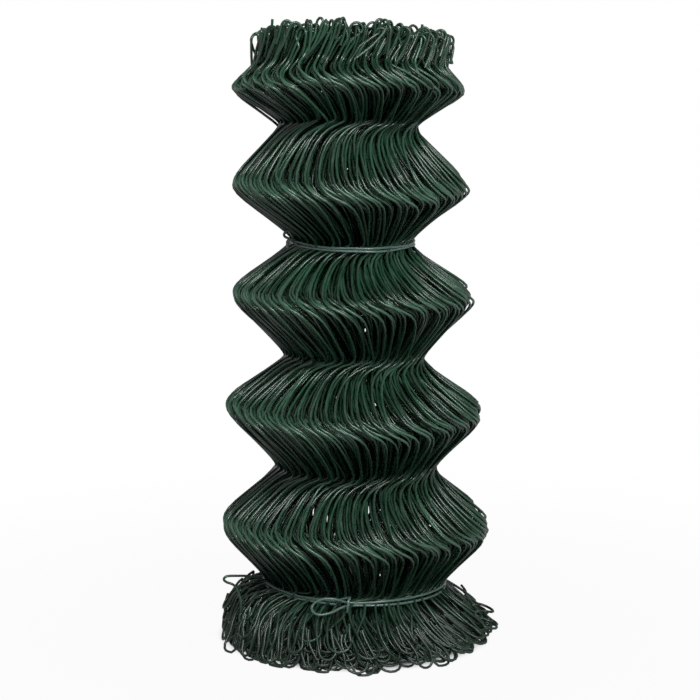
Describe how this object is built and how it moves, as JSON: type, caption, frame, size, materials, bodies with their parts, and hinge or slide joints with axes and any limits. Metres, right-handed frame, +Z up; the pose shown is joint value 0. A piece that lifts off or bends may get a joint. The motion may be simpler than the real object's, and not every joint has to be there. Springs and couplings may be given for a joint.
{
  "type": "chain-link fencing roll",
  "caption": "Upright roll of closed-up plastic-coated chain-link fencing, bulging at its rows of wire bends, with an open core and doubled tie wires hooked through eyes round its waists.",
  "frame": {"origin": "on the roll's axis, at the floor it stands on", "axes": "+Z up along the roll's axis, -Y towards the viewer of the picture, +X to the viewer's right"},
  "size_m": [0.215, 0.2148, 0.474],
  "materials": {
    "mesh_wire": "glossy dark green plastic coating on steel wire",
    "tie_wire": "glossy dark green plastic coating on soft steel wire"
  },
  "bodies": {
    "root": {"mesh_roll": "mesh_wire", "upper_tie_wire": "tie_wire", "lower_tie_wire": "tie_wire"}
  },
  "joints": []
}
